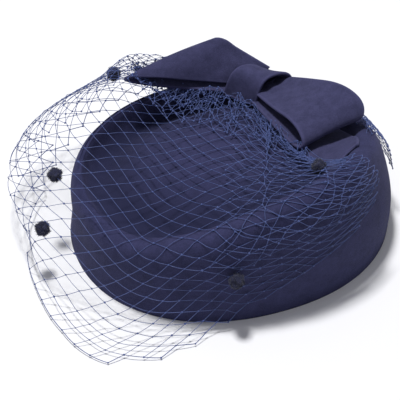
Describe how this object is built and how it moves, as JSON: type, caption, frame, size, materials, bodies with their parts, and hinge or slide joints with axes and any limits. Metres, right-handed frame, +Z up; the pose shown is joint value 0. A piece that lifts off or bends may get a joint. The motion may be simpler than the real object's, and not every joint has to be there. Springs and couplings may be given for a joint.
{
  "type": "pillbox hat",
  "caption": "Pillbox hat of moulded felt with a rolled rim, a looped felt bow on its top and a gathered veil of coarse dotted net over its front.",
  "frame": {"origin": "middle of the whole hat's box, on the surface that the hat stands on", "axes": "+Z up; +X towards the crown's high side, where the rim rises; the veil billows towards -X"},
  "size_m": [0.2424, 0.2108, 0.09],
  "materials": {
    "crown_felt": "matt navy felt",
    "bow_felt": "matt navy felt",
    "net": "navy net",
    "chenille": "soft dark chenille"
  },
  "bodies": {
    "root": {"felt_crown": "crown_felt", "bow_left_loop": "bow_felt", "bow_right_loop": "bow_felt", "bow_knot": "bow_felt", "bow_tail": "bow_felt", "veil": "net", "veil_dot_1": "chenille", "veil_dot_2": "chenille", "veil_dot_3": "chenille", "veil_dot_4": "chenille", "veil_dot_5": "chenille"}
  },
  "joints": []
}
